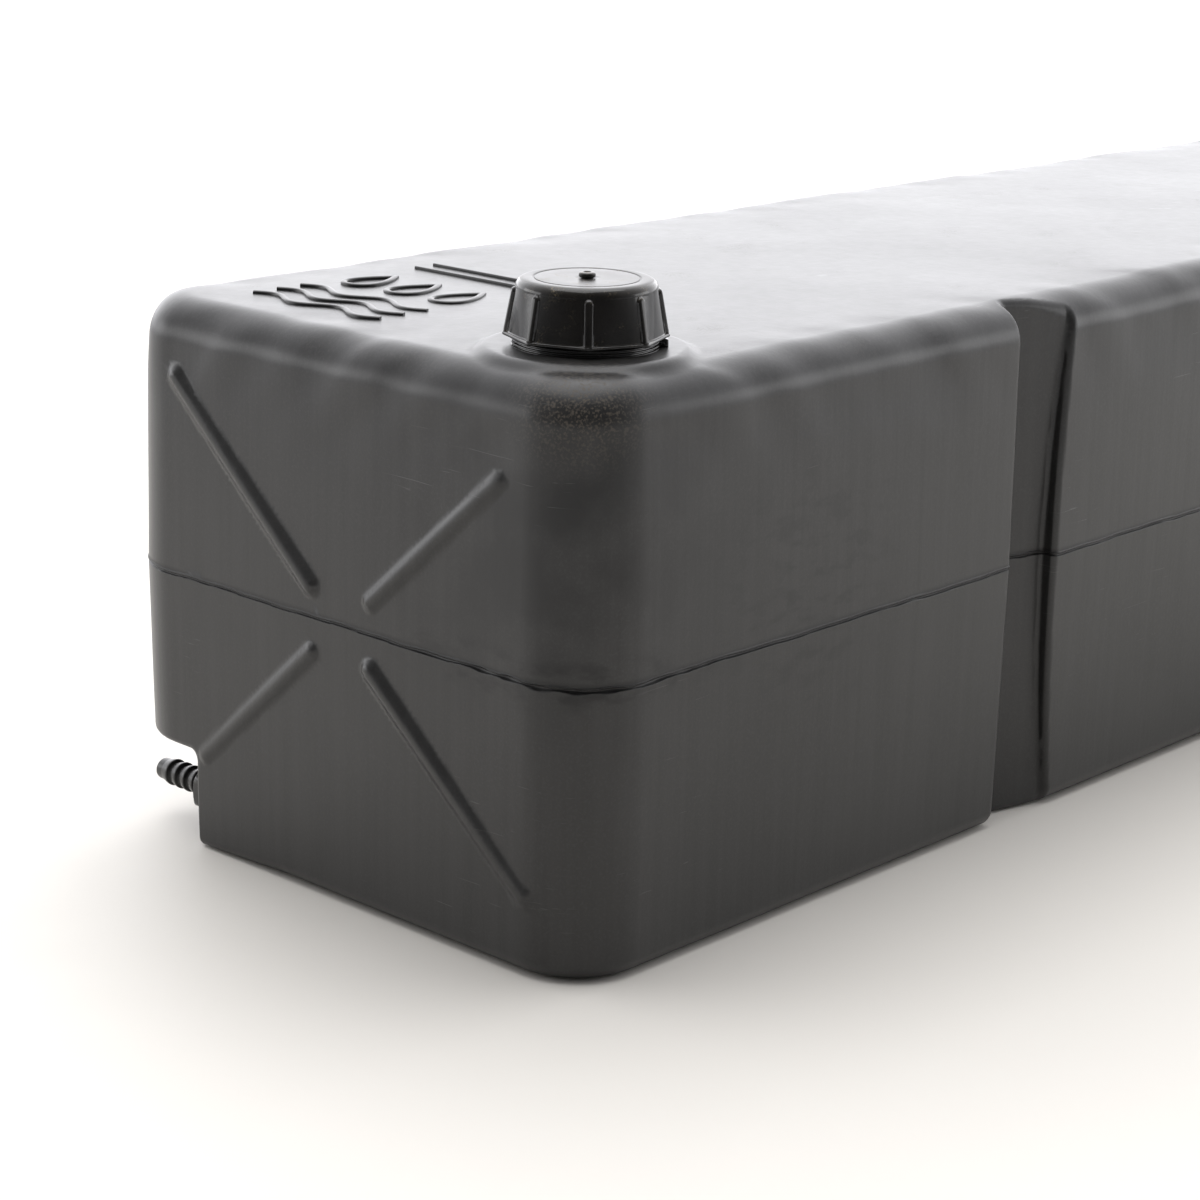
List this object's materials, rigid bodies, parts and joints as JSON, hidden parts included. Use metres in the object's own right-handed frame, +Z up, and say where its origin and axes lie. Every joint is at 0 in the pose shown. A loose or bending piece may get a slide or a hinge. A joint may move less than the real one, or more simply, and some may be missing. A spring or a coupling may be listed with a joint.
{
  "type": "fresh water tank",
  "caption": "Long low rotomoulded water tank with a ribbed screw filler cap on top, strap channels down its sides, ribbed end faces and a barbed hose outlet in a corner recess.",
  "frame": {"origin": "centre of the rectangle that the tank stands on, at the underside", "axes": "+X along the tank away from the filler end, +Y across it towards the hose outlet's side, +Z up"},
  "size_m": [1.0044, 0.3, 0.2865],
  "materials": {
    "tank_plastic": "satin dark grey rotomoulded polyethylene, faint vertical streaks and scuffs",
    "neck_plastic": "glossy black injection-moulded polyethylene",
    "cap_plastic": "glossy black injection-moulded plastic",
    "tail_plastic": "semi-gloss black moulded plastic",
    "seal_rubber": "matt black rubber",
    "vent_sinter": "porous tan sintered plastic",
    "insert_brass": "turned brass, slightly dull"
  },
  "bodies": {
    "tank": {"tank_shell": "tank_plastic", "filler_neck": "neck_plastic", "outlet_insert": "insert_brass", "outlet_o_ring": "seal_rubber", "outlet_hose_tail": "tail_plastic"},
    "seal": {"cap_seal": "seal_rubber"},
    "cap": {"filler_cap": "cap_plastic", "vent_plug": "cap_plastic", "vent_filter": "vent_sinter"}
  },
  "joints": [
    {"name": "cap_lift", "type": "slide", "parent": "tank", "child": "seal", "axis": [0, 0, 1], "range_m": [0, 0.03]},
    {"name": "cap_turn", "type": "hinge", "parent": "seal", "child": "cap", "pos_m": [-0.4385, -0.0895, 0.26], "axis": [0, 0, 1], "range_deg": [0, 1800]}
  ],
  "couplings": [
    {"joint": "cap_lift", "follows": "cap_turn", "m_per_rad": 0.00095493}
  ]
}
